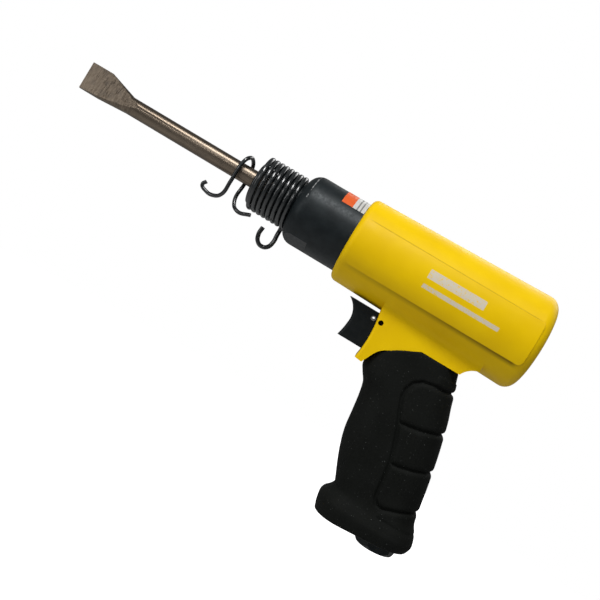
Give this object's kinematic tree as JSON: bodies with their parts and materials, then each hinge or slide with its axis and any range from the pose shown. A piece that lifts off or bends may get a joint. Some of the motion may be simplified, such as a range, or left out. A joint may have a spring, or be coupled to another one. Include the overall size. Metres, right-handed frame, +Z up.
{
  "type": "pneumatic air hammer",
  "caption": "Pistol-grip air hammer with a barrel, a beehive spring that retains a flat chisel, a sliding trigger, a rubber grip and a threaded air inlet.",
  "frame": {"origin": "centre of the air inlet's mouth, on the hexagon fitting's end face", "axes": "-X along the barrel to the chisel, +Z up, from the handle's foot to the barrel, +Y to the tool's right side"},
  "size_m": [0.2966, 0.0572, 0.1707],
  "materials": {
    "yellow_paint": "satin yellow paint over cast aluminium",
    "black_steel": "black satin finish, worn on the edges",
    "tool_steel": "forged, bronze-grey, ground marks",
    "spring_black": "glossy black wire",
    "black_plastic": "moulded black plastic",
    "grip_rubber": "fine matte grain",
    "label_film": "printed film, plain colour fields",
    "plain_steel": "turned steel",
    "brass": "turned brass",
    "seal_rubber": "smooth seal rubber",
    "felt": "pressed felt",
    "nylon": "natural nylon"
  },
  "bodies": {
    "body": {"housing": "yellow_paint", "barrel": "black_steel", "barrel_seal": "seal_rubber", "barrel_label": "label_film", "valve_block": "plain_steel", "valve_cap": "plain_steel", "valve_dowels": "plain_steel", "throttle_seat": "brass", "seat_seals": "seal_rubber", "inlet_bushing": "black_steel", "inlet_seal": "nylon", "inlet_screen": "plain_steel", "muffler": "felt", "exhaust_cover": "black_steel", "cover_screws": "plain_steel", "grip_sleeve": "grip_rubber"},
    "piston": {"piston": "plain_steel"},
    "cycle_valve": {"cycle_valve": "plain_steel"},
    "retainer": {"retainer_spring": "spring_black", "release_wire": "spring_black"},
    "chisel": {"chisel": "tool_steel"},
    "trigger": {"trigger": "black_plastic", "trigger_pin": "plain_steel", "throttle_stem": "brass", "stem_seal": "seal_rubber", "throttle_spring": "plain_steel"}
  },
  "joints": [
    {"name": "trigger_press", "type": "slide", "parent": "body", "child": "trigger", "axis": [1, 0, 0], "range_m": [0, 0.006], "stiffness_N_per_m": 500, "springref_m": -0.004, "deforming": ["throttle_spring"]},
    {"name": "piston_stroke", "type": "slide", "parent": "body", "child": "piston", "axis": [1, 0, 0], "range_m": [0, 0.058]},
    {"name": "cycle_valve_shift", "type": "slide", "parent": "body", "child": "cycle_valve", "axis": [1, 0, 0], "range_m": [0, 0.0012]},
    {"name": "chisel_stroke", "type": "slide", "parent": "body", "child": "retainer", "axis": [-1, 0, 0], "range_m": [0, 0.006], "stiffness_N_per_m": 2000, "springref_m": -0.002, "deforming": ["retainer_spring"]},
    {"name": "chisel_spin", "type": "hinge", "parent": "retainer", "child": "chisel", "pos_m": [-0.1985, 0, 0.1415], "axis": [1, 0, 0], "continuous": true}
  ]
}
